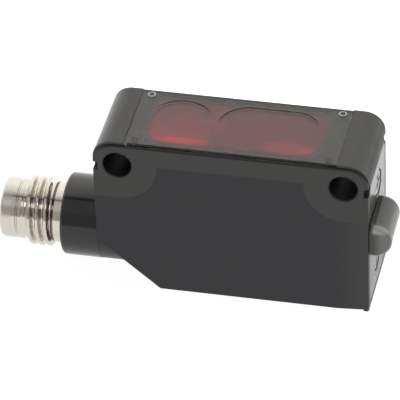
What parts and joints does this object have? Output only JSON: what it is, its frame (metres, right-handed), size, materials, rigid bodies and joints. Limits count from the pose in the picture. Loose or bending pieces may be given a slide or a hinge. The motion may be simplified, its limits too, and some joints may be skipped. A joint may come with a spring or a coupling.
{
  "type": "photoelectric sensor",
  "caption": "Miniature box-shaped photoelectric sensor with smoked red window, twin lenses, domed indicator, screwdriver adjusters, mounting holes and an M8 plug connector.",
  "frame": {"origin": "on the flat back face, midway between the two mounting holes along the length and in the middle of the thickness", "axes": "+X along the housing from the connector to the indicator dome, +Y across the thickness, +Z from the back face towards the lens window"},
  "size_m": [0.0454, 0.011, 0.0198],
  "materials": {
    "case": "fine moulded texture, satin",
    "cover": "semi-gloss",
    "window": "polished smoked red acrylic",
    "lens": "polished red acrylic",
    "seal": "matt",
    "holder": "matt black",
    "board": "solder mask",
    "led_red": "clear red epoxy",
    "led_orange": "epoxy",
    "led_green": "epoxy",
    "chip": "moulded epoxy",
    "tin": "tinned",
    "ceramic": "ceramic",
    "insert": "satin",
    "panel": "semi-gloss",
    "dome": "smoky translucent, satin",
    "adjuster": "satin white",
    "trimmer": "satin",
    "collar": "gloss black",
    "nickel": "bright nickel plate",
    "contact": "gold plated",
    "wire_brown": "satin",
    "wire_white": "satin",
    "wire_blue": "satin",
    "wire_black": "satin"
  },
  "bodies": {
    "sensor": {"housing": "case", "front_cover": "cover", "front_window": "window", "emitter_lens": "lens", "receiver_lens": "lens", "front_gasket": "seal", "optics_holder": "holder", "main_board": "board", "emitter_led": "led_red", "receiver_photodiode": "chip", "receiver_shield": "tin", "signal_ic": "chip", "output_driver": "chip", "filter_capacitor": "ceramic", "board_header": "insert", "indicator_board": "board", "output_led": "led_orange", "stability_led": "led_green", "control_panel": "panel", "indicator_dome": "dome", "sensitivity_seal": "seal", "selector_seal": "seal", "sensitivity_trimmer_body": "trimmer", "selector_switch_body": "trimmer", "connector_collar": "collar", "collar_seal": "seal", "connector_shell": "nickel", "connector_insert": "insert", "contact_pin_1": "contact", "contact_pin_2": "contact", "contact_pin_3": "contact", "contact_pin_4": "contact", "lead_wire_brown": "wire_brown", "lead_wire_white": "wire_white", "lead_wire_blue": "wire_blue", "lead_wire_black": "wire_black"},
    "sensitivity_rotor": {"sensitivity_adjuster": "adjuster"},
    "selector_rotor": {"operation_selector": "adjuster"}
  },
  "joints": [
    {"name": "sensitivity_turn", "type": "hinge", "parent": "sensor", "child": "sensitivity_rotor", "pos_m": [0.0147, 0.0008, 0.0135], "axis": [1, 0, 0], "range_deg": [-130, 130]},
    {"name": "selector_turn", "type": "hinge", "parent": "sensor", "child": "selector_rotor", "pos_m": [0.0147, -0.0004, 0.0039], "axis": [1, 0, 0], "range_deg": [0, 90]}
  ]
}
